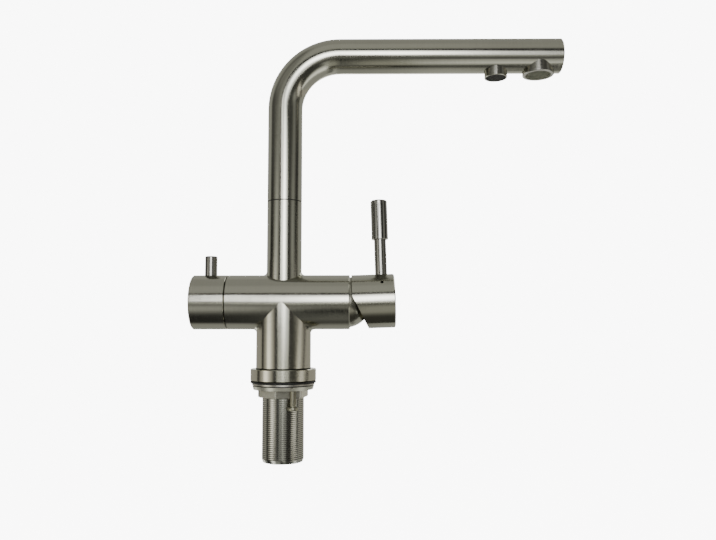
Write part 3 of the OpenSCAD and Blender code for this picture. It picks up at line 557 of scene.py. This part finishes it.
# The front screw stands beside the flat of the hexagon that faces 18 degrees to the right, a little
# along from its middle. The other screw is opposite.
jack_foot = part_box("jack_screws")[0][2]
jack_turn = math.radians(18)
jack_from_axis, jack_along_flat = 0.0203, 0.0033
jack_radius, head_radius, head_height, jack_top = 0.0025, 0.0042, 0.0026, -0.002
jack_pitch, jack_depth, core_overlap = 0.0008, 0.00045, 0.0004
slot_width, slot_depth = 0.0012, 0.0011
head_rounding, slot_turns = 0.0006, (0.5, 1.5)
head_top = jack_foot + head_height
front_x = math.sin(jack_turn) * jack_from_axis + math.cos(jack_turn) * jack_along_flat
front_y = math.sin(jack_turn) * jack_along_flat - math.cos(jack_turn) * jack_from_axis
screws = []
for jack_x, jack_y, slot_turn in [(front_x, front_y, slot_turns[0]), (-front_x, -front_y, slot_turns[1])]:
    bpy.ops.mesh.primitive_cylinder_add(vertices=48, radius=head_radius, depth=head_height,
                                        location=(jack_x, jack_y, jack_foot + head_height / 2))
    head = bpy.context.object
    bpy.ops.object.transform_apply(location=True)
    heights = [corner.co.z for corner in head.data.vertices]
    pick(head, "EDGE", lambda edge: abs(heights[edge.vertices[0]] - heights[edge.vertices[1]]) < 1e-6)
    bpy.ops.mesh.bevel(offset=head_rounding, segments=3)
    bpy.ops.object.mode_set(mode="OBJECT")
    bpy.ops.mesh.primitive_cube_add(size=1, location=(jack_x, jack_y, jack_foot))
    slot_cutter = bpy.context.object
    slot_cutter.scale = (slot_width, 0.02, 2 * slot_depth)
    slot_cutter.rotation_euler.z = slot_turn
    apply(head, "BOOLEAN", operation="DIFFERENCE", object=slot_cutter, solver="EXACT")
    bpy.data.objects.remove(slot_cutter)
    bpy.ops.mesh.primitive_cylinder_add(vertices=32, radius=jack_radius - jack_depth,
                                        depth=jack_top - head_top + core_overlap,
                                        location=(jack_x, jack_y, (jack_top + head_top - core_overlap) / 2))
    core = bpy.context.object
    bpy.ops.object.transform_apply(location=True)
    ridge = helical_thread(jack_radius, jack_pitch, jack_depth, head_top + 0.0008, jack_top, 28, (jack_x, jack_y))
    screws.append(join(head, core, ridge))
screws = finish_mesh(join(*screws), "jack_screws_with_thread", 32)
yellow_zinc = moulded("yellow_zinc", (0.42, 0.41, 0.31), 0.35, grain=2500, depth=0.05, metallic=0.9)
screws.data.materials.append(yellow_zinc)
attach(screws, "root")
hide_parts("jack_screws")


# The mixer cartridge is hidden in the body's right end: a white plastic shell, two ceramic discs,
# black seals, and a carrier that the lever's stem tilts in. A brass nut holds it down.
white_plastic = moulded("white_plastic", (0.70, 0.69, 0.63), 0.42, depth=0.08, speckle=0.05)
ceramic = moulded("lapped_ceramic", (0.83, 0.81, 0.76), 0.18, depth=0.03, speckle=0.03)
brass = (0.62, 0.47, 0.24)
level_brass = brushed_steel("turned_brass_level", level, shade=brass, roughness=0.28)
spring_steel = brushed_steel("spring_steel", level, shade=(0.58, 0.57, 0.54), roughness=0.25)
dress(white_plastic, "cartridge_base", "cartridge_housing", "disc_driver", "stem_carrier")
dress(ceramic, "fixed_disc", "sliding_disc")
dress(black_rubber, "port_seals")
dress(level_brass, "cartridge_nut")
dress(spring_steel, "stem_pin")
dress(moulded("passivated_zinc", (0.52, 0.43, 0.22), 0.35, metallic=1.0), "lever_stem")


# The dome under the lever's drum is pressed from thin steel and spun smooth. It is pushed on the
# body's end, and hides the cartridge's nut.
dress(brushed_steel("spun_dome", level, roughness=0.22), "dome_cap")


# The drum is turned from bar and cut on a slant, so that its lower edge clears the dome as the
# lever tilts out. Its rod screws in from above, and a small dark screw locks it to the stem.
level_steel = brushed_steel("level_steel", level)
dress(level_steel, "handle_drum")
pin_steel = brushed_steel("pin_steel", upright, shade=(0.38, 0.373, 0.335), roughness=0.18, bump=0.2)
dress(pin_steel, "lever_rod")
grip_low, grip_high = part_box("lever_grip")
grip_x = (grip_low[0] + grip_high[0]) / 2


def painted_flute_shade(x, y, z):
    # Painted shade in fourteen shallow flutes round the grip, as dark stripes which fade at its ends
    round_grip = y.maths("ARCTAN2", x - grip_x)
    flute_shade = (14 * round_grip).maths("SINE").rise(0.1, 0.8)
    return 0.55 * flute_shade * z.between(grip_low[2] + 0.001, grip_high[2] - 0.003, 0.0008)


dress(brushed_steel("grip_steel", upright, shade=(0.46, 0.452, 0.41), roughness=0.18, bump=0.2,
                    painted_shade=painted_flute_shade), "lever_grip")
dress(moulded("black_oxide", (0.02, 0.02, 0.02), 0.4, metallic=1.0), "handle_grub_screw")


# The valve for the filtered water is screwed into the body's left end, with a brass housing and
# spindle, two ceramic discs and a rubber seat. Its knob is turned from steel bar and carries a pin.
dress(level_brass, "valve_headwork", "valve_spindle")
dress(ceramic, "valve_fixed_disc", "valve_turning_disc")
dress(black_rubber, "valve_seat_seal")
dress(level_steel, "filter_cap")
dress(pin_steel, "filter_pin")


# The swivel spigot is brass, screwed into the top of the riser, and the spout turns on it with o-rings,
# a clip and a plastic bush. A milky plastic tube leads the filtered water from it through the spout.
upright_brass = brushed_steel("turned_brass_upright", upright, shade=brass, roughness=0.28)
dress(upright_brass, "swivel_spigot")
dress(black_rubber, "spigot_o_rings")
dress(spring_steel, "spigot_clip")
dress(white_plastic, "swivel_bush")
dress(black_plastic, "swivel_ring")
dress(moulded("milky_tube", (0.74, 0.77, 0.77), 0.35, depth=0.05, speckle=0.04), "filtered_water_tube")


# The spout is a steel tube, bent once and brushed round its length. A turned plate is welded in its
# end, and its foot turns on the spigot.
bend_radius, bend_height, arm_height = 0.045, 0.2216, 0.2666


def spout_lines(x, y, z):
    # Length along the tube: up the riser, round the bend, and out along the arm
    out, rise = x - bend_radius, z - bend_height
    angle = rise.maths("ARCTAN2", -out)
    in_arm = x.rise(bend_radius - 0.0001, bend_radius + 0.0001)
    in_bend = z.rise(bend_height - 0.0001, bend_height + 0.0001) * (1 - in_arm)
    in_riser = (1 - in_arm) * (1 - in_bend)
    length = in_riser * z + in_bend * (bend_height + bend_radius * angle) \
        + in_arm * (bend_height + bend_radius * math.pi / 2 + out)
    reach = (out * out + rise * rise).maths("SQRT") - bend_radius
    return length, y, in_riser * -x + in_bend * reach + in_arm * (z - arm_height)


dress(brushed_steel("spout_steel", spout_lines), "spout_tube")
dress(brushed_steel("end_plate_steel", lambda x, y, z: (z, x, y)), "spout_end_plate")


# Each outlet is a short turned neck under the arm. The larger holds an aerator with an olive mesh,
# and the smaller a dark one for the filtered water.
neck_steel = brushed_steel("neck_steel", upright, shade=(0.50, 0.49, 0.42), roughness=0.18)
dress(neck_steel, "mixed_outlet_neck", "filtered_outlet_neck")
dress(brushed_steel("aerator_steel", upright, shade=(0.50, 0.49, 0.44), roughness=0.2), "aerator_ring")


cup_rim, cup_depth = 0.07, 0.0016


def mesh_insert(name, node, cells, wire, material):
    """A round sieve of crossed wires over a shallow cup"""
    low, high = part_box(node)
    centre = ((low[0] + high[0]) / 2, (low[1] + high[1]) / 2)
    radius = (high[0] - low[0]) / 2
    bpy.ops.mesh.primitive_grid_add(x_subdivisions=cells, y_subdivisions=cells, size=2 * radius,
                                    location=(centre[0], centre[1], low[2] + wire))
    sieve = bpy.context.object
    bpy.ops.object.transform_apply(location=True)
    pick(sieve, "VERT", lambda corner: math.hypot(corner.co.x - centre[0], corner.co.y - centre[1])
         > radius - wire / 2)
    bpy.ops.mesh.delete(type="VERT")
    bpy.ops.object.mode_set(mode="OBJECT")
    apply(sieve, "WIREFRAME", thickness=wire, use_boundary=True, use_even_offset=False)
    bpy.ops.mesh.primitive_cylinder_add(vertices=64, radius=radius, depth=high[2] - low[2],
                                        location=(centre[0], centre[1], (low[2] + high[2]) / 2))
    cup = bpy.context.object
    bpy.ops.object.transform_apply(location=True)
    pick(cup, "FACE", lambda face: face.normal.z < -0.9)
    bpy.ops.mesh.inset(thickness=radius * cup_rim)
    bpy.ops.transform.translate(value=(0, 0, cup_depth))
    bpy.ops.object.mode_set(mode="OBJECT")
    insert = finish_mesh(join(cup, sieve), name)
    insert.data.materials.append(material)
    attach(insert, "spout")
    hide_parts(node)
    return insert


sieve_wire = 0.0004
olive_plastic = moulded("olive_plastic", (0.30, 0.31, 0.24), 0.5)
charcoal_plastic = moulded("charcoal_plastic", (0.10, 0.10, 0.095), 0.5)
aerator_mesh = mesh_insert("aerator_mesh", "aerator_insert", 16, sieve_wire, olive_plastic)
filtered_mesh = mesh_insert("filtered_mesh", "filtered_outlet_insert", 12, sieve_wire, charcoal_plastic)
